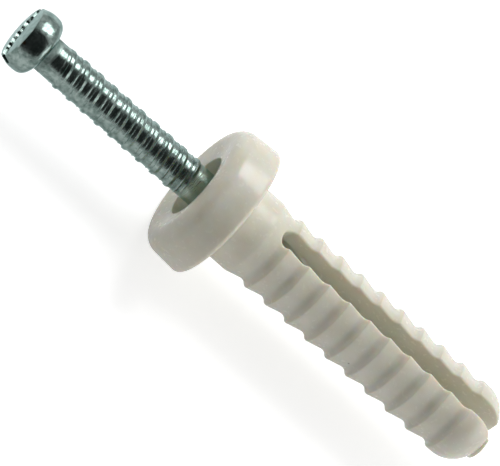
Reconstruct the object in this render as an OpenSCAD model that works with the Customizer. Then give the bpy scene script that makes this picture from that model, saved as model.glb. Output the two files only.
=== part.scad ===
// Hammer fixing plug: a moulded nylon plug with a dished flange, a smooth neck, a barbed barrel split into
// two legs and a domed tip, and the plated steel drive nail that stands part-driven in it.
// Lengths are in millimetres. Both pieces are drawn about the Z axis, with the flange's underside at zero
// and the tip at the top, and are then turned as the plug sits in a wall: the wall's face is at X = 0, the tip
// points along +X and the split is upright. A point of an outline is [radius, height].

/* [Flange] */
// Diameter of the flange at its underside
flange_d = 11.4; // [10:0.1:16]
// Thickness of the flange, from its underside to the crest of its rim
flange_h = 3.55; // [3.1:0.05:5]
// Taper of the flange's side, in degrees
flange_draft = 3.5; // [0:0.5:6]
// Radius of the flange's rounded rim
flange_rim_r = 1.3; // [0.8:0.1:1.5]
// Radius of the flange's lower edge
flange_edge_r = 0.4; // [0.1:0.05:0.6]
// Slope of the flange's dished top towards the nail, in degrees
dish_slope = 13; // [0:1:20]

/* [Neck and barbs] */
// Diameter of the smooth neck, which fills the mouth of the drilled hole
neck_d = 6.4; // [5.6:0.1:8]
// Length of the neck at its full diameter
neck_h = 2.5; // [1.5:0.1:4]
// Length of the taper from the neck to the first valley
neck_taper_h = 1.56; // [0.8:0.02:2.5]
// Length of the plug below its flange
barrel_len = 25.4; // [18:0.1:40]
// How far the barbs stay inside the neck's radius
barb_drop = 0.03; // [0:0.01:0.1]
// Depth of the valleys between the barbs
barb_depth = 0.38; // [0.3:0.02:0.5]
// Distance from one barb to the next
barb_pitch = 2; // [1.5:0.1:3]
// Length of a barb's steep side, which faces the flange
barb_rise = 0.5; // [0.45:0.05:0.8]
// Radius of a barb's crest
barb_crest_r = 0.3; // [0.1:0.05:0.35]

/* [Tip] */
// Shortest length of plain tip beyond the last barb
tip_min_h = 3.3; // [3:0.1:4.5]
// Radius of the tip's domed shoulder
dome_r = 2.4; // [2:0.1:2.8]
// Diameter of the flat nub that ends the tip
nub_d = 3.5; // [2.6:0.1:4]
// Height of the nub
nub_h = 0.3; // [0.1:0.05:0.5]

/* [Split and bore] */
// Width of the split between the two legs
split_w = 1.38; // [0.8:0.02:1.8]
// Distance from the flange's underside to the closed end of the split
split_start = 3.5; // [2.8:0.1:5]
// Depth of the guiding bore below the flange's underside, where the nail's point stops
bore_depth = 4.7; // [4:0.1:7]
// Length of the funnel from the guiding bore to the narrow bore between the legs
funnel_h = 2.5; // [1:0.1:4]
// Diameter of the narrow bore, which the nail spreads
pilot_d = 1.5; // [1:0.05:2]
// Chamfer that leads the nail into the guiding bore
lead_in = 0.5; // [0.2:0.05:0.8]
// Radial clearance of the nail's shank in the guiding bore
shank_clear = 0.02; // [0.01:0.01:0.05]
// Radial clearance of the nail's head in its recess
head_clear = 0.12; // [0.05:0.01:0.3]

/* [Nail shank] */
// Diameter of the nail's plain shank
nail_d = 2.85; // [2.2:0.05:3.4]
// Length of the nail below its head
nail_len = 22.9; // [16:0.1:36]
// Height of the thread above the shank
thread_h = 0.12; // [0.05:0.01:0.2]
// Length of plain shank between the head and the thread
thread_gap = 1.8; // [0.8:0.1:3]
// Gap between the thread and the flange's rim
thread_stand = 0.45; // [0.2:0.05:1.5]
// Length of the nail's point
point_h = 0.9; // [0.5:0.1:2]
// Diameter of the blunt end of the point
point_d = 1.6; // [1:0.1:2]

/* [Nail head] */
// Diameter of the nail's head, whose side is part of a ball
head_d = 5; // [4.6:0.1:5.8]
// Height of the head
head_h = 2.25; // [2:0.01:2.6]
// Height of the head's widest place above its underside
head_waist_h = 1.06; // [0.9:0.02:1.3]
// Radius of the head's slightly domed face
head_dome_r = 25; // [10:0.5:30]
// Radius of the head's lower edge
head_edge_r = 0.8; // [0.4:0.05:0.85]
// Width of the driver slot
driver_w = 0.8; // [0.5:0.05:1.2]
// Depth of the driver slot at the middle of the head
driver_depth = 0.7; // [0.4:0.05:1]
// Turn of the driver slot about the axis, from the plane of the split, in degrees
driver_turn = 109; // [0:1:180]

/* [Hidden] */
$fn = 96;
nylon = [0.86, 0.85, 0.79];
zinc = [0.70, 0.75, 0.74];
// How far a cut runs past the face that it opens
overrun = 1;
// Largest turn between two points of a round corner, in degrees
arc_step = 12;

// Flange: the rim's round is tangent to the side and to the dish
flange_r = flange_d / 2;
rim_z = flange_rim_r - flange_h;
rim_c = [flange_r + rim_z * tan(flange_draft) - flange_rim_r / cos(flange_draft), rim_z];
rim_side = rim_c + flange_rim_r * [cos(flange_draft), -sin(flange_draft)];
rim_dish = rim_c - flange_rim_r * [sin(dish_slope), cos(dish_slope)];
dish_middle = [0, rim_dish[1] + rim_dish[0] * tan(dish_slope)];
edge_c = [flange_r - flange_edge_r * (tan(flange_draft) + 1 / cos(flange_draft)), -flange_edge_r];
edge_side = edge_c + flange_edge_r * [cos(flange_draft), -sin(flange_draft)];
edge_under = [edge_c[0], 0];

// Barrel: whole barbs fill the length between the neck's taper and the tip
neck_r = neck_d / 2;
barb_r = neck_r - barb_drop;
root_r = barb_r - barb_depth;
first_valley = neck_h + neck_taper_h;
barb_count = floor((barrel_len - first_valley - tip_min_h) / barb_pitch);
valleys = [for (i = [0 : barb_count - 1]) first_valley + i * barb_pitch];
last_valley = first_valley + barb_count * barb_pitch;

// Tip: the dome is tangent to the barrel and ends at the nub
nub_r = nub_d / 2;
dome_x = barb_r - dome_r;
dome_h = sqrt(dome_r ^ 2 - (nub_r - dome_x) ^ 2);
dome_c = [dome_x, barrel_len - nub_h - dome_h];
dome_start = [barb_r, dome_c[1]];
dome_end = [nub_r, barrel_len - nub_h];
tip_shoulder = [barb_r, last_valley + barb_rise];

// Split and bore: the bore guides the shank, and the recess takes the head when the nail is driven home
nail_r = nail_d / 2;
head_r = head_d / 2;
split_root = split_start + split_w / 2;
split_reach = neck_r + overrun;
bore_r = nail_r + shank_clear;
recess_r = head_r + head_clear;
recess_floor = head_h - flange_h;
pilot_r = pilot_d / 2;

// Nail: its point stops at the end of the guiding bore, and its thread stops above the flange
thread_r = nail_r + thread_h;
point_z = bore_depth;
head_z = point_z - nail_len;
thread_start = head_z + thread_gap;
thread_end = -flange_h - thread_stand;
head_top = head_z - head_h;
side_c = [0, head_z - head_waist_h];
cap_c = [0, head_top + head_dome_r];
rim_rise = (head_r ^ 2 - head_dome_r ^ 2) / (2 * (cap_c[1] - side_c[1])) + (cap_c[1] - side_c[1]) / 2;
face_rim = side_c + [sqrt(head_r ^ 2 - rim_rise ^ 2), rim_rise];
lip_reach = head_r - head_edge_r;
lip_rise = head_waist_h - head_edge_r;
lip_c = side_c + [sqrt(lip_reach ^ 2 - lip_rise ^ 2), lip_rise];
lip_side = side_c + (lip_c - side_c) * head_r / lip_reach;
lip_under = [lip_c[0], head_z];

// Point where a line from p touches the circle of radius r about c, on the side given as 1 or -1
function touch(p, c, r, side) =
    let (v = p - c, a = atan2(v[1], v[0]) + side * acos(r / norm(v)))
    c + r * [cos(a), sin(a)];

// Points of an outline's round corner about the centre c, from point a to point b
function arc(c, a, b) =
    let (
        r = norm(a - c),
        start = atan2(a[1] - c[1], a[0] - c[0]),
        turn = atan2(b[1] - c[1], b[0] - c[0]) - start,
        sweep = turn > 180 ? turn - 360 : turn < -180 ? turn + 360 : turn,
        steps = ceil(abs(sweep) / arc_step)
    )
    [for (i = [0 : steps]) c + r * [cos(start + sweep * i / steps), sin(start + sweep * i / steps)]];

// Centre of the crest of the barb that starts at height z
function crest_c(z) = [barb_r - barb_crest_r, z + barb_rise];

// Outline of a barb that starts at height z, with its round crest up to the given point
function barb(z, crest_end) =
    let (crest_start = touch([root_r, z], crest_c(z), barb_crest_r, 1))
    concat([[root_r, z]], arc(crest_c(z), crest_start, crest_end));

// Point where the crest of the barb that starts at height z meets its gentle side
function crest_end(z) = touch([root_r, z + barb_pitch], crest_c(z), barb_crest_r, -1);

plug_outline = concat(
    [dish_middle],
    arc(rim_c, rim_dish, rim_side),
    arc(edge_c, edge_side, edge_under),
    [[neck_r, 0], [neck_r, neck_h]],
    [for (z = valleys) each barb(z, crest_end(z))],
    barb(last_valley, tip_shoulder),
    arc(dome_c, dome_start, dome_end),
    [[nub_r, barrel_len], [0, barrel_len]]
);

bore_outline = [
    [0, -flange_h - overrun],
    [recess_r, -flange_h - overrun],
    [recess_r, recess_floor],
    [bore_r + lead_in, recess_floor],
    [bore_r, recess_floor + lead_in],
    [bore_r, bore_depth],
    [pilot_r, bore_depth + funnel_h],
    [pilot_r, barrel_len + overrun],
    [0, barrel_len + overrun]
];

nail_outline = concat(
    arc(cap_c, [0, head_top], face_rim),
    arc(side_c, face_rim, lip_side),
    arc(lip_c, lip_side, lip_under),
    [[nail_r, head_z], [nail_r, thread_start], [thread_r, thread_start + thread_h]],
    [[thread_r, thread_end - thread_h], [nail_r, thread_end]],
    [[nail_r, point_z - point_h], [point_d / 2, point_z], [0, point_z]]
);

// The split right through the barrel, with a round closed end
module split() {
    translate([-split_reach, -split_w / 2, split_root]) cube([2 * split_reach, split_w, barrel_len]);
    translate([-split_reach, 0, split_root]) rotate([0, 90, 0]) cylinder(d = split_w, h = 2 * split_reach);
}

// The slot across the face of the nail's head
module driver_slot() {
    rotate([0, 0, driver_turn])
        translate([-head_d, -driver_w / 2, head_top - overrun])
            cube([2 * head_d, driver_w, driver_depth + overrun]);
}

// Turns a piece from the Z axis to the X axis, with the tip towards +X
module in_wall() {
    rotate([0, 90, 0]) children();
}

module plug() {
    color(nylon) in_wall() difference() {
        rotate_extrude() polygon(plug_outline);
        rotate_extrude() polygon(bore_outline);
        split();
    }
}

module nail() {
    color(zinc) in_wall() difference() {
        rotate_extrude() polygon(nail_outline);
        driver_slot();
    }
}

plug();
nail();
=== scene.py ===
"""Looks of the hammer fixing plug: the nylon plug, the plated drive nail that stands in it, and a studio.

Sizes are in millimetres and follow the part's own frame: the plug's axis lies along X, with the flange's
underside at zero, the tip towards +X and the split upright. A point of an outline is (radius, place along
the axis). Each piece is modelled in millimetres and brought to metres when it is finished. The camera's
and the lamps' distances, and the lamps' sizes, are in metres.
"""

import logging
import math
import random
from bisect import bisect_right
from dataclasses import dataclass, field
from enum import Enum

import bpy
from mathutils import Matrix, Vector


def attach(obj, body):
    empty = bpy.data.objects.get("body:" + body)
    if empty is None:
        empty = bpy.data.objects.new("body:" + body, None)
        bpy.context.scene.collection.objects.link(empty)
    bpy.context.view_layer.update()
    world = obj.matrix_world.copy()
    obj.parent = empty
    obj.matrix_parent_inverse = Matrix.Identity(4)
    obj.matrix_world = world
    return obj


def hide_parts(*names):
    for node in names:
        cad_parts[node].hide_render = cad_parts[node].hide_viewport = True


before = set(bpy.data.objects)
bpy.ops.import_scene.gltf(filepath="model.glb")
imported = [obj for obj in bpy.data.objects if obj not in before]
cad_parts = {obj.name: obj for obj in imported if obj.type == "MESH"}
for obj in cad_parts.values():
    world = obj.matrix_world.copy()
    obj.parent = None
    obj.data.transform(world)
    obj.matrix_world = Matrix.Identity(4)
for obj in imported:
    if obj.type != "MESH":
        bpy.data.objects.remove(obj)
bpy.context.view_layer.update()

Point = tuple[float, float]
Span = tuple[float, float]
Colour = tuple[float, float, float]
Node = bpy.types.Node
Socket = str | int
MM = 0.001
WELD = 1e-4
ARC_STEP = math.radians(7)
ALONG = Vector((1, 0, 0))
BODY = "root"
# Sockets of a node that mixes two colours
MIX_FIRST, MIX_SECOND, MIX_RESULT = 6, 7, 2
log = logging.getLogger("hammer_plug")


class Slot(Enum):
    """The record's material slots."""

    NYLON = "nylon"
    ZINC = "zinc_steel"


class Change(Enum):
    """How one shape changes another."""

    CUT = "DIFFERENCE"
    JOIN = "UNION"


class Sum(Enum):
    """What a node works out from its inputs."""

    LARGER = "MAXIMUM"
    TIMES = "MULTIPLY"
    TIMES_PLUS = "MULTIPLY_ADD"


# Outlines


def plus(a: Point, b: Point, k: float = 1.0) -> Point:
    """Returns a + k * b."""
    return (a[0] + k * b[0], a[1] + k * b[1])


def arc(centre: Point, a: Point, b: Point) -> list[Point]:
    """Lists the points of a round stretch.

    Args:
        centre: The centre of the round.
        a: Its first point.
        b: Its last point, reached the shorter way.

    Returns:
        Points from a to b, no more than ARC_STEP apart.
    """
    radius = math.dist(a, centre)
    start = math.atan2(a[1] - centre[1], a[0] - centre[0])
    sweep = math.remainder(math.atan2(b[1] - centre[1], b[0] - centre[0]) - start, math.tau)
    steps = max(2, math.ceil(abs(sweep) / ARC_STEP))
    turns = [start + sweep * i / steps for i in range(steps + 1)]
    return [plus(centre, (math.cos(t), math.sin(t)), radius) for t in turns]


def corner(before: Point, at: Point, after: Point, radius: float) -> list[Point]:
    """Rounds one corner of an outline.

    Args:
        before: The point before the corner.
        at: The corner.
        after: The point after the corner.
        radius: The radius of the round.

    Returns:
        The points of the arc that takes the corner's place.
    """
    back = Vector(plus(before, at, -1)).normalized()
    ahead = Vector(plus(after, at, -1)).normalized()
    half = back.angle(ahead) / 2
    reach = radius / math.tan(half)
    centre = Vector(at) + (back + ahead).normalized() * (radius / math.sin(half))
    return arc(tuple(centre), tuple(Vector(at) + back * reach), tuple(Vector(at) + ahead * reach))


def smooth(low: float, high: float, x: float) -> float:
    """Returns 0 below low, 1 above high and a smooth rise between them."""
    t = min(1.0, max(0.0, (x - low) / (high - low)))
    return t * t * (3 - 2 * t)


def spread(reach: float, steps: int) -> list[float]:
    """Lists evenly spaced places from -reach to reach."""
    return [reach * (2 * i / steps - 1) for i in range(steps + 1)]


# Modelling


def deselect() -> None:
    """Leaves nothing selected, so that an operator acts on the new piece alone."""
    bpy.ops.object.select_all(action="DESELECT")


def weld() -> None:
    """Merges the doubles of the piece in edit mode and points its faces outwards."""
    bpy.ops.mesh.select_all(action="SELECT")
    bpy.ops.mesh.remove_doubles(threshold=WELD)
    bpy.ops.mesh.normals_make_consistent(inside=False)


def turned(name: str, outline: list[Point], steps: int) -> bpy.types.Object:
    """Turns an outline about the X axis, as on a lathe.

    Args:
        name: The piece's name.
        outline: The points of the outline, in order.
        steps: Number of steps in the full turn.

    Returns:
        The turned piece, in millimetres.
    """
    deselect()
    bpy.ops.mesh.primitive_plane_add(size=1)
    piece = bpy.context.object
    piece.name = name
    bpy.ops.object.mode_set(mode="EDIT")
    bpy.ops.mesh.select_all(action="SELECT")
    bpy.ops.mesh.merge(type="CENTER")
    here = (0.0, 0.0)
    for index, point in enumerate(outline):
        move = {"value": (point[1] - here[1], 0, point[0] - here[0])}
        if index:
            bpy.ops.mesh.extrude_vertices_move(TRANSFORM_OT_translate=move)
        else:
            bpy.ops.transform.translate(**move)
        here = point
    bpy.ops.mesh.select_all(action="SELECT")
    bpy.ops.mesh.spin(steps=steps, angle=math.tau, center=(0, 0, 0), axis=(1, 0, 0))
    weld()
    bpy.ops.object.mode_set(mode="OBJECT")
    return piece


def skinned(name: str, loops: list[list[Vector]]) -> bpy.types.Object:
    """Lays a grid over a row of loops.

    Args:
        name: The piece's name.
        loops: The loops in order, of as many points each; a loop's last point lies on its first.

    Returns:
        The skin, in millimetres, with its seam and its ends open.
    """
    columns, rows = len(loops[0]) - 1, len(loops) - 1
    deselect()
    bpy.ops.mesh.primitive_grid_add(x_subdivisions=columns, y_subdivisions=rows, size=1)
    piece = bpy.context.object
    piece.name = name
    for vertex in piece.data.vertices:
        column = round((vertex.co.x + 0.5) * columns)
        row = round((vertex.co.y + 0.5) * rows)
        vertex.co = loops[row][column]
    return piece


def closed_bar(name: str, loops: list[list[Vector]]) -> bpy.types.Object:
    """Makes a solid bar from a row of loops.

    Args:
        name: The bar's name.
        loops: The bar's cross sections, as skinned takes them.

    Returns:
        The bar, in millimetres, with its seam welded and its ends filled.
    """
    bar = skinned(name, loops)
    bpy.ops.object.mode_set(mode="EDIT")
    weld()
    bpy.ops.mesh.fill_holes(sides=len(loops[0]) - 1)
    bpy.ops.mesh.normals_make_consistent(inside=False)
    bpy.ops.object.mode_set(mode="OBJECT")
    return bar


def combine(piece: bpy.types.Object, other: bpy.types.Object, change: Change) -> None:
    """Cuts a shape out of a piece, or joins it to the piece, and removes the shape.

    Args:
        piece: The piece that is changed.
        other: The shape that is taken away or joined.
        change: Which of the two is done.
    """
    deselect()
    bpy.context.view_layer.objects.active = piece
    step = piece.modifiers.new("step", "BOOLEAN")
    step.operation, step.solver, step.object = change.value, "EXACT", other
    bpy.ops.object.modifier_apply(modifier=step.name)
    bpy.data.objects.remove(other)


def finish_piece(
    piece: bpy.types.Object, node: str, material: bpy.types.Material, sharp: float
) -> None:
    """Brings a piece to metres, shades it, dresses it and sets it in the frame.

    Args:
        piece: The modelled piece, in millimetres.
        node: The solid that the piece stands for.
        material: Its material.
        sharp: Angle between faces above which an edge stays sharp.
    """
    deselect()
    piece.select_set(True)
    bpy.context.view_layer.objects.active = piece
    piece.data.transform(Matrix.Scale(MM, 4))
    piece.data.materials.clear()
    piece.data.materials.append(material)
    bpy.ops.object.shade_smooth_by_angle(angle=sharp)
    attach(piece, BODY)
    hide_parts(node)


# Materials


class Nodes:
    """A node tree that is built one node at a time."""

    def __init__(self, owner: bpy.types.ID, output: str) -> None:
        """Empties the tree of a new material or world, and adds its output.

        Args:
            owner: The material or world.
            output: The type of its output node.
        """
        owner.use_nodes = True
        self.owner = owner
        self.tree = owner.node_tree
        self.tree.nodes.clear()
        self.output = self.add(output)

    @classmethod
    def material(cls, name: str) -> "Nodes":
        """Returns the empty tree of a new material."""
        return cls(bpy.data.materials.new(name), "ShaderNodeOutputMaterial")

    @classmethod
    def world(cls, name: str) -> "Nodes":
        """Returns the empty tree of a new world, which becomes the scene's."""
        bpy.context.scene.world = bpy.data.worlds.new(name)
        return cls(bpy.context.scene.world, "ShaderNodeOutputWorld")

    def finished(self, shader: Node) -> bpy.types.ID:
        """Joins the shader to the output, and returns the material or world."""
        self.link(shader, 0, self.output, "Surface")
        return self.owner

    def add(self, kind: str, **settings: object) -> Node:
        """Adds a node.

        Args:
            kind: The node's type.
            settings: Properties of the node.

        Returns:
            The new node.
        """
        node = self.tree.nodes.new(kind)
        for name, value in settings.items():
            setattr(node, name, value)
        return node

    def link(self, source: Node, out: Socket, target: Node, into: Socket) -> None:
        """Joins an output of one node to an input of another."""
        self.tree.links.new(source.outputs[out], target.inputs[into])

    def place(self, stretch: tuple[float, float, float] = (1, 1, 1)) -> Node:
        """Adds the piece's own coordinates in millimetres.

        Args:
            stretch: Factor along each axis.

        Returns:
            The node whose first output is the place.
        """
        here = self.add("ShaderNodeTexCoord")
        scaled = self.add("ShaderNodeMapping", vector_type="POINT")
        scaled.inputs["Scale"].default_value = [k / MM for k in stretch]
        self.link(here, "Object", scaled, "Vector")
        return scaled

    def noise(self, place: Node, scale: float, detail: float = 3, rough: float = 0.5) -> Node:
        """Adds a noise pattern.

        Args:
            place: The node that gives the place.
            scale: Number of features to a millimetre.
            detail: Number of finer layers.
            rough: Strength of the finer layers.

        Returns:
            The node whose first output is the pattern.
        """
        node = self.add("ShaderNodeTexNoise")
        self.link(place, 0, node, "Vector")
        node.inputs["Scale"].default_value = scale
        node.inputs["Detail"].default_value = detail
        node.inputs["Roughness"].default_value = rough
        return node

    def calculate(self, kind: Sum, *terms: tuple[Node, Socket] | float) -> Node:
        """Adds a calculation.

        Args:
            kind: What is worked out.
            terms: The inputs in order, each a number, or a node and its output.

        Returns:
            The node whose first output is the result.
        """
        node = self.add("ShaderNodeMath", operation=kind.value)
        for index, term in enumerate(terms):
            if isinstance(term, tuple):
                self.link(*term, node, index)
            else:
                node.inputs[index].default_value = term
        return node

    def span(self, source: Node, out: Socket, reach: Span, ends: Span, **settings: object) -> Node:
        """Turns a value into another one, which stays the same outside a span.

        Args:
            source: The node that gives the value.
            out: Its output.
            reach: Start and end of the span.
            ends: The new value at its start and at its end.
            settings: Properties of the node.

        Returns:
            The node whose first output is the new value.
        """
        node = self.add("ShaderNodeMapRange", **settings)
        self.link(source, out, node, "Value")
        node.inputs["From Min"].default_value, node.inputs["From Max"].default_value = reach
        node.inputs["To Min"].default_value, node.inputs["To Max"].default_value = ends
        return node

    def ramp(self, source: Node, reach: Span, ends: tuple[Colour, ...]) -> Node:
        """Turns a value into a colour, which stays the same outside a span.

        Args:
            source: The node whose first output is the value.
            reach: Start and end of the span.
            ends: The colours at its start and at its end.

        Returns:
            The node whose first output is the colour.
        """
        node = self.add("ShaderNodeValToRGB")
        for point, at, colour in zip(node.color_ramp.elements, reach, ends):
            point.position = at
            point.color = (*colour, 1)
        self.link(source, 0, node, 0)
        return node

    def mix(self, share: Node, base: Node, colour: Colour, out: int = 0) -> Node:
        """Mixes a plain colour into a pattern.

        Args:
            share: The node whose first output is the share of the plain colour.
            base: The node that gives the pattern.
            colour: The plain colour.
            out: The output of the pattern's node.

        Returns:
            The node whose output MIX_RESULT is the mixed colour.
        """
        node = self.add("ShaderNodeMix", data_type="RGBA")
        self.link(share, 0, node, 0)
        self.link(base, out, node, MIX_FIRST)
        node.inputs[MIX_SECOND].default_value = (*colour, 1)
        return node

    def bump(self, source: Node, height: float, over: Node | None = None) -> Node:
        """Adds relief to the surface.

        Args:
            source: The node whose first output is the share of the height.
            height: Height of the relief, in millimetres.
            over: Relief that this one lies over.

        Returns:
            The node whose first output is the relief.
        """
        node = self.add("ShaderNodeBump")
        node.inputs["Strength"].default_value = 1
        node.inputs["Distance"].default_value = height * MM
        self.link(source, 0, node, "Height")
        if over:
            self.link(over, 0, node, "Normal")
        return node


def linear(r: int, g: int, b: int) -> Colour:
    """Turns a screen colour of 0 to 255 into linear light."""
    levels = (c / 255 for c in (r, g, b))
    return tuple(c / 12.92 if c <= 0.04045 else ((c + 0.055) / 1.055) ** 2.4 for c in levels)


def greys(*levels: float) -> tuple[Colour, ...]:
    """Turns levels into greys."""
    return tuple((level,) * 3 for level in levels)


@dataclass(frozen=True)
class NylonFinish:
    """Off-white moulded nylon: a little cloudy, slightly see-through, satin, with a few dark specks."""

    pale: Colour = linear(238, 236, 224)
    deep: Colour = linear(230, 227, 210)
    cloud_scale: float = 0.7
    cloud_levels: Span = (0.3, 0.7)
    speck: Colour = linear(135, 126, 110)
    speck_scale: float = 0.42
    speck_edge: Span = (0.025, 0.05)
    grain_scale: float = 9
    grain_h: float = 0.003
    wave_scale: float = 0.9
    wave_h: float = 0.04
    sheen_scale: float = 2.5
    sheen_levels: Span = (0.3, 0.7)
    roughness: Span = (0.14, 0.3)
    refraction: float = 1.53
    glow: Colour = (1.0, 0.65, 0.4)
    glow_depth: float = 0.4

    def colour(self, made: Nodes, place: Node) -> Node:
        """Adds the cloudy colour with its specks.

        Args:
            made: The material's tree.
            place: The node that gives the place.

        Returns:
            The node whose output MIX_RESULT is the colour.
        """
        cloud = made.noise(place, self.cloud_scale, detail=4)
        base = made.ramp(cloud, self.cloud_levels, (self.deep, self.pale))
        cells = made.add("ShaderNodeTexVoronoi")
        made.link(place, 0, cells, "Vector")
        cells.inputs["Scale"].default_value = self.speck_scale
        dots = made.ramp(cells, self.speck_edge, greys(1, 0))
        return made.mix(dots, base, self.speck)

    def build(self) -> bpy.types.Material:
        """Makes the material.

        Returns:
            The nylon.
        """
        made = Nodes.material("moulded_nylon")
        place = made.place()
        waves = made.bump(made.noise(place, self.wave_scale, detail=2), self.wave_h)
        relief = made.bump(made.noise(place, self.grain_scale, rough=0.6), self.grain_h, waves)
        sheen = made.noise(place, self.sheen_scale)
        rough = made.ramp(sheen, self.sheen_levels, greys(*self.roughness))
        shader = made.add("ShaderNodeBsdfPrincipled")
        made.link(self.colour(made, place), MIX_RESULT, shader, "Base Color")
        made.link(rough, 0, shader, "Roughness")
        made.link(relief, 0, shader, "Normal")
        shader.inputs["IOR"].default_value = self.refraction
        shader.inputs["Subsurface Weight"].default_value = 1
        shader.inputs["Subsurface Radius"].default_value = self.glow
        shader.inputs["Subsurface Scale"].default_value = self.glow_depth * MM
        return made.finished(shader)


@dataclass(frozen=True)
class ZincFinish:
    """Bright zinc plate with a faint green-blue cast, fine marks round the shank, a spot of rust, and a
    painted reflection on the shank in the hole.
    """

    light: Colour = linear(156, 172, 167)
    cast: Colour = linear(108, 127, 121)
    cloud_scale: float = 1.9
    cloud_levels: Span = (0.38, 0.62)
    edge_tint: Colour = (0.86, 1.0, 1.0)
    # The spot of rust on the head; its edge is in shares of its size
    rust: Colour = linear(112, 84, 58)
    rust_place: tuple[float, float, float] = (-20.2, -1.6, 1.6)
    rust_size: float = 0.2
    rust_edge: Span = (0.9, 1.4)
    rust_scale: float = 5
    # Painted reflection: from the flange on, the shank is lighter, standing in for the lit nylon that it
    # reflects in the hole
    painted_reflection: Colour = linear(180, 198, 190)
    painted_reflection_from: Span = (-4.2, -3.8)
    # Marks round the shank, which fade on the head, with pits and dents all over
    ring_stretch: tuple[float, float, float] = (7, 0.9, 0.9)
    ring_h: float = 0.03
    rings_from: Span = (-18.3, -17.8)
    rings_on_head: float = 0.2
    pit_scale: float = 6
    pit_h: float = 0.006
    dent_scale: float = 1.3
    dent_h: float = 0.03
    # Gloss, with a dull collar under the head
    gloss_scale: float = 2.2
    gloss_levels: Span = (0.3, 0.72)
    roughness: Span = (0.1, 0.26)
    dull_from: Span = (-18.22, -18.15)
    dull_to: Span = (-17.8, -17.45)
    dullness: float = 0.5

    def colour(self, made: Nodes, place: Node, along: Node) -> Node:
        """Adds the cloudy colour with the rust and the painted reflection on the shank in the hole.

        Args:
            made: The material's tree.
            place: The node that gives the place.
            along: The node whose output X is the place along the axis.

        Returns:
            The node whose output MIX_RESULT is the colour.
        """
        cloud = made.noise(place, self.cloud_scale, detail=5, rough=0.65)
        base = made.ramp(cloud, self.cloud_levels, (self.cast, self.light))
        spot = made.add("ShaderNodeVectorMath", operation="DISTANCE")
        made.link(place, 0, spot, 0)
        spot.inputs[1].default_value = self.rust_place
        ragged = made.noise(place, self.rust_scale, detail=4)
        away = made.calculate(Sum.TIMES_PLUS, (ragged, 0), self.rust_size, (spot, "Value"))
        low, high = self.rust_edge
        share = made.ramp(away, (self.rust_size * low, self.rust_size * high), greys(1, 0))
        stained = made.mix(share, base, self.rust)
        # Painted reflection: from the flange on, the shank's colour turns lighter, for the nylon that it
        # reflects in the hole
        reflection_share = made.span(along, "X", self.painted_reflection_from, (0, 1))
        return made.mix(reflection_share, stained, self.painted_reflection, MIX_RESULT)

    def relief(self, made: Nodes, place: Node, along: Node) -> Node:
        """Adds the marks round the shank, the pits and the dents.

        Args:
            made: The material's tree.
            place: The node that gives the place.
            along: The node whose output X is the place along the axis.

        Returns:
            The node whose first output is the relief.
        """
        on_shank = made.span(along, "X", self.rings_from, (self.rings_on_head, 1))
        marks = made.noise(made.place(self.ring_stretch), scale=1, detail=4, rough=0.6)
        rings = made.calculate(Sum.TIMES, (marks, 0), (on_shank, 0))
        dents = made.bump(made.noise(place, self.dent_scale, detail=1), self.dent_h)
        pits = made.bump(made.noise(place, self.pit_scale), self.pit_h, dents)
        return made.bump(rings, self.ring_h, pits)

    def gloss(self, made: Nodes, place: Node, along: Node) -> Node:
        """Adds the uneven gloss and the dull collar.

        Args:
            made: The material's tree.
            place: The node that gives the place.
            along: The node whose output X is the place along the axis.

        Returns:
            The node whose first output is the roughness.
        """
        uneven = made.noise(place, self.gloss_scale, detail=4)
        level = made.ramp(uneven, self.gloss_levels, greys(*self.roughness))
        start = made.span(along, "X", self.dull_from, (0, 1))
        end = made.span(along, "X", self.dull_to, (1, 0))
        collar = made.calculate(Sum.TIMES, (start, 0), (end, 0))
        return made.calculate(Sum.TIMES_PLUS, (collar, 0), self.dullness, (level, 0))

    def build(self) -> bpy.types.Material:
        """Makes the material.

        Returns:
            The zinc plate.
        """
        made = Nodes.material("zinc_plate")
        place = made.place()
        along = made.add("ShaderNodeSeparateXYZ")
        made.link(place, 0, along, 0)
        shader = made.add("ShaderNodeBsdfPrincipled")
        made.link(self.colour(made, place, along), MIX_RESULT, shader, "Base Color")
        made.link(self.gloss(made, place, along), 0, shader, "Roughness")
        made.link(self.relief(made, place, along), 0, shader, "Normal")
        shader.inputs["Metallic"].default_value = 1
        shader.inputs["Specular Tint"].default_value = (*self.edge_tint, 1)
        return made.finished(shader)


# Camera and studio


@dataclass(frozen=True)
class PhotoView:
    """The camera's place: the plug's axis falls to the right in the image, with the nail's head nearer."""

    width: int = 500
    pixels_per_mm: float = 13.85
    axis_fall: float = math.radians(41.43)
    axis_lean: float = math.radians(13.35)
    split_turn: float = math.radians(32.6)
    aim: float = 2.1
    distance: float = 1.4
    clip: Span = (0.01, 100)

    def facing(self) -> Vector:
        """Returns the direction across the plug's axis that faces the camera."""
        return Vector((0, -math.sin(self.split_turn), math.cos(self.split_turn)))

    def beside(self) -> Vector:
        """Returns the direction across the axis and across the view, towards the image's upper right."""
        return Vector((0, math.cos(self.split_turn), math.sin(self.split_turn)))

    def towards(self) -> Vector:
        """Returns the direction from the plug to the camera."""
        return math.cos(self.axis_lean) * self.facing() - math.sin(self.axis_lean) * ALONG

    def build(self) -> None:
        """Adds the scene's camera."""
        along = self.beside().cross(self.towards())
        right = math.cos(self.axis_fall) * along + math.sin(self.axis_fall) * self.beside()
        up = math.cos(self.axis_fall) * self.beside() - math.sin(self.axis_fall) * along
        turn = Matrix((right, up, self.towards())).transposed()
        place = Vector((self.aim * MM, 0, 0)) + self.towards() * self.distance
        seen_width = self.width / self.pixels_per_mm * MM
        deselect()
        bpy.ops.object.camera_add()
        camera = bpy.context.object
        camera.matrix_world = Matrix.Translation(place) @ turn.to_4x4()
        camera.data.lens = camera.data.sensor_width * self.distance / seen_width
        camera.data.clip_start, camera.data.clip_end = self.clip
        bpy.context.scene.camera = camera


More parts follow.
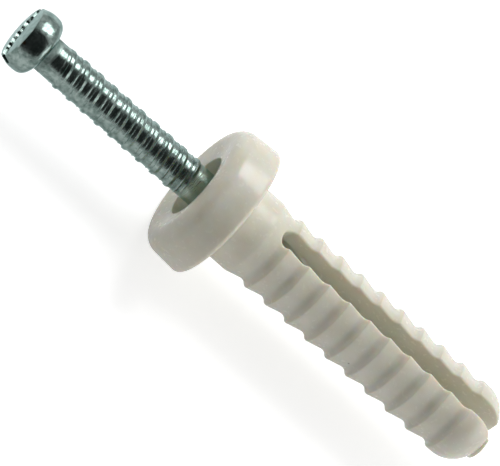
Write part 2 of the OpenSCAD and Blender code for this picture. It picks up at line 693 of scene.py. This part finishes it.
@dataclass(frozen=True)
class Softbox:
    """A square lamp that faces the plug."""

    name: str
    distance: float
    size: float
    radiance: float

    def hang(self, towards: Vector) -> None:
        """Hangs the softbox.

        Args:
            towards: Direction from the plug to the lamp.
        """
        deselect()
        bpy.ops.object.light_add(type="AREA")
        lamp = bpy.context.object
        lamp.name = self.name
        lamp.location = towards * self.distance
        lamp.rotation_mode = "QUATERNION"
        lamp.rotation_quaternion = towards.to_track_quat("Z", "Y")
        lamp.data.shape = "SQUARE"
        lamp.data.size = self.size
        lamp.data.energy = self.radiance * math.pi * self.size**2


@dataclass
class Studio:
    """A white floor in a light tent, dark on the camera's side, and softboxes above and past the tip."""

    view: PhotoView
    floor_z: float = -5.7
    floor_size: float = 4000
    floor_colour: float = 0.9
    floor_glow: float = 0.64
    floor_sheen: float = 0.27
    tent: float = 0.78
    dark: float = 0.05
    dark_inner: float = math.radians(36)
    dark_outer: float = math.radians(48)
    dark_tilt: float = math.radians(24)
    top_angle: float = math.radians(69)
    top_box: Softbox = Softbox("top_softbox", distance=0.25, size=0.135, radiance=5.0)
    tip_angle: float = math.radians(18)
    tip_box: Softbox = Softbox("tip_softbox", distance=0.3, size=0.2, radiance=1.42)

    def floor_white(self) -> bpy.types.Material:
        """Makes the floor's material, which glows towards the camera, and less in reflections.

        Returns:
            The white.
        """
        made = Nodes.material("floor_white")
        path = made.add("ShaderNodeLightPath")
        seen = made.calculate(Sum.LARGER, (path, "Is Camera Ray"), (path, "Is Transmission Ray"))
        mirrored = made.calculate(Sum.TIMES, (path, "Is Glossy Ray"), self.floor_sheen)
        glow = made.calculate(Sum.TIMES_PLUS, (seen, 0), self.floor_glow, (mirrored, 0))
        light = made.add("ShaderNodeEmission")
        made.link(glow, 0, light, "Strength")
        matt = made.add("ShaderNodeBsdfDiffuse")
        matt.inputs["Color"].default_value = (self.floor_colour,) * 3 + (1,)
        both = made.add("ShaderNodeAddShader")
        made.link(light, 0, both, 0)
        made.link(matt, 0, both, 1)
        return made.finished(both)

    def floor(self) -> None:
        """Lays the floor, which is no part of the object."""
        deselect()
        bpy.ops.mesh.primitive_plane_add(size=self.floor_size * MM, location=(0, 0, self.floor_z * MM))
        floor = bpy.context.object
        floor.name = "floor"
        floor.data.materials.append(self.floor_white())

    def light_tent(self) -> None:
        """Lights the world white, but dark on the camera's side and beside it, past the nail's head."""
        made = Nodes.world("light_tent")
        place = made.add("ShaderNodeTexCoord")
        facing = self.view.facing()
        past_head = math.cos(self.dark_tilt) * facing - math.sin(self.dark_tilt) * ALONG
        dots = []
        for middle in (facing, past_head):
            dot = made.add("ShaderNodeVectorMath", operation="DOT_PRODUCT")
            made.link(place, "Generated", dot, 0)
            dot.inputs[1].default_value = middle
            dots.append((dot, "Value"))
        near = made.calculate(Sum.LARGER, *dots)
        edge = (math.cos(self.dark_inner), math.cos(self.dark_outer))
        level = made.span(near, 0, edge, (self.dark, self.tent), interpolation_type="SMOOTHSTEP")
        light = made.add("ShaderNodeBackground")
        made.link(level, 0, light, "Strength")
        made.finished(light)

    def build(self) -> None:
        """Makes the floor and the lights."""
        bpy.context.scene.view_settings.view_transform = "Standard"
        self.floor()
        self.light_tent()
        facing, beside = self.view.facing(), self.view.beside()
        self.top_box.hang(math.cos(self.top_angle) * facing + math.sin(self.top_angle) * beside)
        self.tip_box.hang(math.sin(self.tip_angle) * facing + math.cos(self.tip_angle) * ALONG)


# The plug


@dataclass
class PlugMoulding:
    """The nylon plug: flange, neck, barbed barrel, split and tip, with the soft edges of a moulding."""

    view: PhotoView
    # Flange
    flange_d: float = 11.4
    flange_h: float = 3.55
    flange_draft: float = math.radians(3.5)
    flange_rim_r: float = 1.3
    flange_edge_r: float = 0.4
    dish_slope: float = math.radians(13)
    recess_r: float = 2.62
    recess_floor: float = -1.3
    lip_r: float = 0.08
    # Neck and barbs; a barb's corner stands over its round crest
    neck_r: float = 3.2
    neck_h: float = 2.5
    neck_end_r: float = 1.2
    first_valley: float = 4.06
    barb_r: float = 3.17
    barb_depth: float = 0.38
    barb_pitch: float = 2.0
    barb_rise: float = 0.36
    barb_crest_r: float = 0.15
    barb_over: float = 0.02
    barb_count: int = 9
    valley_r: float = 0.7
    barrel_len: float = 25.4
    # Tip, whose nub falls towards one side
    dome_r: float = 2.4
    nub_r: float = 1.75
    nub_h: float = 0.3
    nub_edge_r: float = 0.12
    nub_slope: float = 0.13
    nub_slope_from: float = -0.8
    nub_fall: float = 0.28
    # Split and bore
    split_half: float = 0.69
    split_root: float = 4.19
    split_edge_r: float = 0.17
    bore_r: float = 1.445
    bore_depth: float = 4.7
    funnel_h: float = 2.5
    pilot_r: float = 0.75
    lead_in: float = 0.5
    # Mesh
    half_turn_steps: int = 48
    root_steps: int = 14
    edge_steps: int = 5
    wall_steps: int = 4
    sharp: float = math.radians(50)
    skin: list[Point] = field(default_factory=list)

    def flange(self) -> list[Point]:
        """Draws the flange.

        Returns:
            The outline from the recess, over the rim, to the neck's start.
        """
        draft, dish, rim, edge = self.flange_draft, self.dish_slope, self.flange_rim_r, self.flange_edge_r
        rim_s = rim - self.flange_h
        rim_c = (self.flange_d / 2 + rim_s * math.tan(draft) - rim / math.cos(draft), rim_s)
        rim_side = plus(rim_c, (math.cos(draft), -math.sin(draft)), rim)
        rim_dish = plus(rim_c, (-math.sin(dish), -math.cos(dish)), rim)
        edge_c = (self.flange_d / 2 - edge * (math.tan(draft) + 1 / math.cos(draft)), -edge)
        edge_side = plus(edge_c, (math.cos(draft), -math.sin(draft)), edge)
        edge_under = (edge_c[0], 0.0)
        lip = (self.recess_r, rim_dish[1] + (rim_dish[0] - self.recess_r) * math.tan(dish))
        floor = (self.recess_r, self.recess_floor)
        seat = (self.neck_r, 0.0)
        bore_end = (self.bore_r + self.lead_in, self.recess_floor)
        return [
            bore_end,
            *corner(bore_end, floor, lip, self.lip_r),
            *corner(floor, lip, rim_dish, self.lip_r),
            *arc(rim_c, rim_dish, rim_side),
            *arc(edge_c, edge_side, edge_under),
            *corner(edge_under, seat, (self.neck_r, self.neck_h), self.lip_r),
        ]

    def barrel(self) -> list[Point]:
        """Draws the barrel.

        Returns:
            The outline from the neck's end, over the barbs, to the end of the tip.
        """
        root = self.barb_r - self.barb_depth
        tip = self.tip()
        neck_end = (self.neck_r, self.neck_h)
        points = corner((self.neck_r, 0), neck_end, (root, self.first_valley), self.neck_end_r)
        for index in range(self.barb_count + 1):
            valley = (root, self.first_valley + index * self.barb_pitch)
            crest = (self.barb_r + self.barb_over, valley[1] + self.barb_rise)
            end = (root, valley[1] + self.barb_pitch)
            if index == self.barb_count:
                crest = (self.barb_r, crest[1])
                end = tip[0]
            points += corner(points[-1], valley, crest, self.valley_r)
            points += corner(valley, crest, end, self.barb_crest_r)
        return points + tip

    def tip(self) -> list[Point]:
        """Draws the tip.

        Returns:
            The outline of the dome and the nub.
        """
        base = self.barrel_len - self.nub_h
        reach = self.nub_r - (self.barb_r - self.dome_r)
        centre = (self.barb_r - self.dome_r, base - math.sqrt(self.dome_r**2 - reach**2))
        shoulder = (self.nub_r, base)
        end = (self.nub_r, self.barrel_len)
        return [
            *arc(centre, (self.barb_r, centre[1]), shoulder),
            *corner(shoulder, end, (0.0, self.barrel_len), self.nub_edge_r),
        ]

    def radius(self, s: float) -> float:
        """Measures the barrel.

        Args:
            s: The place along the axis.

        Returns:
            The barrel's radius there.
        """
        index = bisect_right(self.skin, s, key=lambda point: point[1])
        index = min(max(index, 1), len(self.skin) - 1)
        (r0, s0), (r1, s1) = self.skin[index - 1], self.skin[index]
        return r0 + (r1 - r0) * min(1.0, max(0.0, (s - s0) / (s1 - s0)))

    def bore(self, s: float) -> float:
        """Returns the bore's radius at a place along the axis."""
        share = min(1.0, max(0.0, (s - self.bore_depth) / self.funnel_h))
        return self.bore_r + share * (self.pilot_r - self.bore_r)

    def body(self) -> bpy.types.Object:
        """Turns the flange and neck, down to where the split starts.

        Returns:
            The body, open at its lower end.
        """
        root = self.split_root - self.split_half
        top = root - self.split_edge_r
        inside = [(self.bore_r, root), (self.bore_r, self.recess_floor + self.lead_in)]
        outside = [point for point in self.skin if point[1] < top - WELD]
        outline = [*inside, *self.flange(), *outside, (self.radius(top), top)]
        return turned("plug", outline, 2 * self.half_turn_steps)

    def slot_point(self, stage: tuple[float, float], offset: float) -> tuple[float, float]:
        """Finds a point beside the edge of the split.

        Args:
            stage: How far round the split's closed end, in radians, and how far along its straight side.
            offset: Distance from the split's wall.

        Returns:
            The distance from the middle plane, and the place along the axis.
        """
        turn, along = stage
        reach = self.split_half + offset
        return reach * math.sin(turn), self.split_root - reach * math.cos(turn) + along

    def half_ring(self, s: float, r: float, first: float) -> list[Vector]:
        """Lists the points of one leg's side of a ring.

        Args:
            s: The ring's place along the axis.
            r: Its radius.
            first: The turn at which it starts, from the plane of the split.

        Returns:
            The points from one wall of the split round to the other.
        """
        sweep = math.pi - 2 * first
        turns = [first + sweep * i / self.half_turn_steps for i in range(self.half_turn_steps + 1)]
        return [Vector((s, r * math.sin(t), r * math.cos(t))) for t in turns]

    def loop(self, stage: tuple[float, float]) -> list[Vector]:
        """Lists one closed loop of a leg: its back, an edge, a wall of the split, the bore, and back again.

        Args:
            stage: How far round the split's closed end, and how far along its straight side.

        Returns:
            The loop's points.
        """
        y, s = self.slot_point(stage, self.split_edge_r)
        r = self.radius(s)
        back = self.half_ring(s, r, math.asin(y / r))
        side: list[Vector] = []
        for step in range(1, self.edge_steps + 1):
            turn = math.pi / 2 * step / self.edge_steps
            y, s = self.slot_point(stage, self.split_edge_r * (1 - math.sin(turn)))
            r = self.radius(s) - self.split_edge_r * (1 - math.cos(turn))
            side.append(Vector((s, y, math.sqrt(r * r - y * y))))
        y, s = self.slot_point(stage, 0)
        r = self.bore(s)
        inner = Vector((s, y, math.sqrt(max(r * r - y * y, 0))))
        outer = side[-1]
        side += [outer.lerp(inner, i / self.wall_steps) for i in range(1, self.wall_steps)]
        hole = self.half_ring(s, r, math.asin(min(y / r, 1)))
        below = [Vector((p.x, p.y, -p.z)) for p in side]
        return [*back, *below, *reversed(hole), *reversed(side), back[0]]

    def legs(self) -> bpy.types.Object:
        """Shapes one leg from its loops, closes its end and mirrors it.

        Returns:
            Both legs.
        """
        stages = [(math.pi / 2 * i / self.root_steps, 0.0) for i in range(self.root_steps + 1)]
        stages += [(math.pi / 2, s - self.split_root) for _, s in self.skin if s > self.split_root + WELD]
        legs = skinned("legs", [self.loop(stage) for stage in stages])
        bpy.ops.object.mode_set(mode="EDIT")
        weld()
        bpy.ops.mesh.select_all(action="DESELECT")
        bpy.ops.object.mode_set(mode="OBJECT")
        for vertex in legs.data.vertices:
            vertex.select = vertex.co.x > self.barrel_len - WELD
        bpy.ops.object.mode_set(mode="EDIT")
        bpy.ops.mesh.edge_face_add()
        bpy.ops.object.mode_set(mode="OBJECT")
        pair = legs.modifiers.new("pair", "MIRROR")
        pair.use_axis = (False, True, False)
        pair.merge_threshold = WELD
        bpy.ops.object.modifier_apply(modifier=pair.name)
        return legs

    def trim_nub(self, legs: bpy.types.Object) -> None:
        """Lowers the nub towards one side, as the trimmed end of a moulding.

        Args:
            legs: Both legs, whose points on the nub move.
        """
        base = self.barrel_len - self.nub_h
        beside = self.view.beside()
        for vertex in legs.data.vertices:
            share = (vertex.co.x - base) / self.nub_h
            if share > 0:
                fall = self.nub_slope * (vertex.co.dot(beside) - self.nub_slope_from)
                vertex.co.x -= share * min(max(fall, 0.0), self.nub_fall)

    def build(self, material: bpy.types.Material) -> bpy.types.Object:
        """Models the plug.

        Args:
            material: The nylon.

        Returns:
            The finished plug.
        """
        self.skin = self.barrel()
        legs = self.legs()
        self.trim_nub(legs)
        plug = self.body()
        deselect()
        legs.select_set(True)
        plug.select_set(True)
        bpy.context.view_layer.objects.active = plug
        bpy.ops.object.join()
        bpy.ops.object.mode_set(mode="EDIT")
        weld()
        bpy.ops.object.mode_set(mode="OBJECT")
        plug.name = "nylon_plug"
        finish_piece(plug, "plug", material, self.sharp)
        return plug


# The nail


@dataclass(frozen=True)
class Ridge:
    """One ridge of the thread: its middle, half width and flanks in shares of the lead, and its height."""

    at: float
    half: float
    rise: float
    fall: float
    height: float

    def level(self, share: float) -> float:
        """Measures the ridge.

        Args:
            share: The place, as a share of the lead.

        Returns:
            The ridge's height there.
        """
        away = math.remainder(share - self.at, 1.0)
        climb = smooth(-self.half, self.rise - self.half, away)
        return self.height * climb * min(1.0, max(0.0, (self.half - away) / self.fall))


@dataclass
class DriveNail:
    """The plated drive nail: slotted head, plain neck, thread of two ridges to a lead, shank and point."""

    view: PhotoView
    # Shank and point
    shank_r: float = 1.425
    point_s: float = 4.7
    point_h: float = 0.9
    point_r: float = 0.8
    point_shoulder_r: float = 0.5
    point_edge_r: float = 0.2
    # Head
    head_s: float = -18.2
    head_r: float = 2.5
    head_h: float = 2.25
    head_waist: float = 1.06
    head_dome_r: float = 25.0
    head_edge_r: float = 0.8
    face_edge_r: float = 0.12
    neck_fillet_r: float = 0.18
    # Driver slot, wider at its mouth, with torn walls
    driver_w: float = 0.8
    driver_depth: float = 0.7
    driver_turn: float = math.radians(109)
    driver_flare: float = 0.15
    driver_reach: float = 3.0
    driver_rows: int = 160
    tear: float = 0.18
    tear_pitch: float = 0.5
    tear_break: float = 0.8
    tear_sway: float = 0.14
    sway_pitch: float = 1.1
    # Burr; its length and the ends of its taper are shares of the slot's edge
    burr_h: float = 0.1
    burr_low: float = 0.6
    burr_foot: float = 0.1
    burr_w: float = 0.06
    burr_peak: float = 0.65
    burr_reach: float = 0.97
    burr_taper: Span = (0.4, 0.9)
    burr_rows: int = 120
    burr_seed: int = 5
    # Thread; each end runs out over a span
    lead: float = 1.362
    thread_from: Span = (-17.3, -16.1)
    thread_to: Span = (-4.35, -3.95)
    thread_phase: float = -9.2
    main_ridge: Ridge = Ridge(at=0.845, half=0.205, rise=0.06, fall=0.15, height=0.115)
    second_ridge: Ridge = Ridge(at=0.425, half=0.07, rise=0.05, fall=0.085, height=0.06)
    # Mesh
    ring_margin: float = 0.2
    ring_pitch: float = 0.023
    turn_steps: int = 96
    sharp: float = math.radians(40)

    def head_top(self) -> float:
        """Returns the place of the middle of the head's face."""
        return self.head_s - self.head_h

    def face_rim(self) -> Point:
        """Finds where the dome of the head's face meets the ball of its side.

        Returns:
            The point of the outline.
        """
        apart = self.head_dome_r + self.head_waist - self.head_h
        rise = (self.head_r**2 - self.head_dome_r**2) / (2 * apart) + apart / 2
        return (math.sqrt(self.head_r**2 - rise**2), self.head_s - self.head_waist + rise)

    def outline(self) -> list[Point]:
        """Draws the nail, with many rings where the thread comes.

        Returns:
            The outline from the middle of its face to the end of its point.
        """
        side_c = (0.0, self.head_s - self.head_waist)
        cap_c = (0.0, self.head_top() + self.head_dome_r)
        rim = self.face_rim()
        lip_reach, lip_rise = self.head_r - self.head_edge_r, self.head_waist - self.head_edge_r
        lip_c = plus(side_c, (math.sqrt(lip_reach**2 - lip_rise**2), lip_rise))
        lip_side = plus(side_c, plus(lip_c, side_c, -1), self.head_r / lip_reach)
        face = arc(cap_c, (0.0, self.head_top()), rim)
        side = arc(side_c, rim, lip_side)
        under = (lip_c[0], self.head_s)
        neck = (self.shank_r, self.head_s)
        start, end = self.thread_from[0] - self.ring_margin, self.thread_to[1] + self.ring_margin
        rings = math.ceil((end - start) / self.ring_pitch)
        band = [(self.shank_r, start + (end - start) * i / rings) for i in range(rings + 1)]
        shoulder = (self.shank_r, self.point_s - self.point_h)
        tip = (self.point_r, self.point_s)
        return [
            *face[:-1],
            *corner(face[-2], rim, side[1], self.face_edge_r),
            *side[2:],
            *arc(lip_c, lip_side, under)[1:],
            *corner(under, neck, band[0], self.neck_fillet_r),
            *band,
            *corner(band[-1], shoulder, tip, self.point_shoulder_r),
            *corner(shoulder, tip, (0.0, self.point_s), self.point_edge_r),
            (0.0, self.point_s),
        ]

    def roll_thread(self, nail: bpy.types.Object) -> None:
        """Raises the thread's ridges on the shank.

        Args:
            nail: The turned nail, whose points move outwards.
        """
        facing, beside = self.view.facing(), self.view.beside()
        for vertex in nail.data.vertices:
            s = vertex.co.x
            around = Vector((0, vertex.co.y, vertex.co.z))
            if not self.thread_from[0] < s < self.thread_to[1] or around.length < self.shank_r - WELD:
                continue
            turn = math.atan2(-around.dot(beside), around.dot(facing))
            share = (s - self.thread_phase) / self.lead - turn / math.tau
            rise = smooth(*self.thread_from, s) * (1 - smooth(*self.thread_to, s))
            height = max(self.main_ridge.level(share), self.second_ridge.level(share))
            vertex.co += around.normalized() * height * rise

    def slot_turn(self) -> Matrix:
        """Returns the turn that lays the Y axis along the driver slot."""
        return Matrix.Rotation(self.driver_turn - math.pi / 2, 4, "X")

    def torn(self, along: float) -> float:
        """Measures the torn walls of the driver slot.

        Args:
            along: The place along the slot.

        Returns:
            How far the walls are moved sideways there.
        """
        sway = self.tear_sway * math.sin(along / self.sway_pitch * math.tau)
        share = (along / self.tear_pitch + sway) % 1.0
        return self.tear * (0.5 - min(share / self.tear_break, (1 - share) / (1 - self.tear_break)))

    def driver_slot(self) -> bpy.types.Object:
        """Makes the cutter of the driver slot, whose walls are torn as by a punch.

        Returns:
            The cutter.
        """
        turn = self.slot_turn()
        above, floor = self.head_top() - self.driver_depth, self.head_top() + self.driver_depth
        wide, narrow = self.driver_w / 2 + self.driver_flare, self.driver_w / 2 - self.driver_flare
        section = [(above, -wide), (above, wide), (floor, narrow), (floor, -narrow), (above, -wide)]
        loops = []
        for along in spread(self.driver_reach, self.driver_rows):
            shift = self.torn(along)
            loops.append([turn @ Vector((x, along, across + shift)) for x, across in section])
        return closed_bar("driver_cutter", loops)

    def burr(self) -> bpy.types.Object:
        """Makes the ragged burr that the punch has left along one edge of the driver slot.

        Returns:
            The burr, which stands on the head's face.
        """
        ragged = random.Random(self.burr_seed)
        turn = self.slot_turn()
        edge = self.driver_w / 2
        reach = self.burr_reach * math.sqrt(self.face_rim()[0] ** 2 - (edge + self.burr_w) ** 2)
        taper_from, taper_to = (share * reach for share in self.burr_taper)
        loops = []
        for along in spread(reach, self.burr_rows):
            face = self.head_top() + (along**2 + edge**2) / (2 * self.head_dome_r)
            taper = 1 - smooth(taper_from, taper_to, along)
            height = self.burr_h * ragged.uniform(self.burr_low, 1) * taper
            inner = edge - self.torn(along)
            foot = face + self.burr_foot
            peak = (face - height, inner + self.burr_peak * self.burr_w)
            section = [(foot, inner), peak, (foot, inner + self.burr_w), (foot, inner)]
            loops.append([turn @ Vector((x, along, -across)) for x, across in section])
        return closed_bar("burr", loops)

    def build(self, material: bpy.types.Material) -> bpy.types.Object:
        """Models the nail.

        Args:
            material: The zinc plate.

        Returns:
            The finished nail.
        """
        nail = turned("zinc_nail", self.outline(), self.turn_steps)
        self.roll_thread(nail)
        combine(nail, self.driver_slot(), Change.CUT)
        combine(nail, self.burr(), Change.JOIN)
        finish_piece(nail, "nail", material, self.sharp)
        return nail


def main() -> None:
    """Builds the camera, the studio and the two pieces."""
    logging.basicConfig(level=logging.INFO, format="%(name)s %(message)s")
    view = PhotoView()
    view.build()
    Studio(view).build()
    nylon, zinc = NylonFinish().build(), ZincFinish().build()
    for piece in (PlugMoulding(view).build(nylon), DriveNail(view).build(zinc)):
        log.info("%s: %d faces", piece.name, len(piece.data.polygons))


if __name__ == "__main__":
    main()
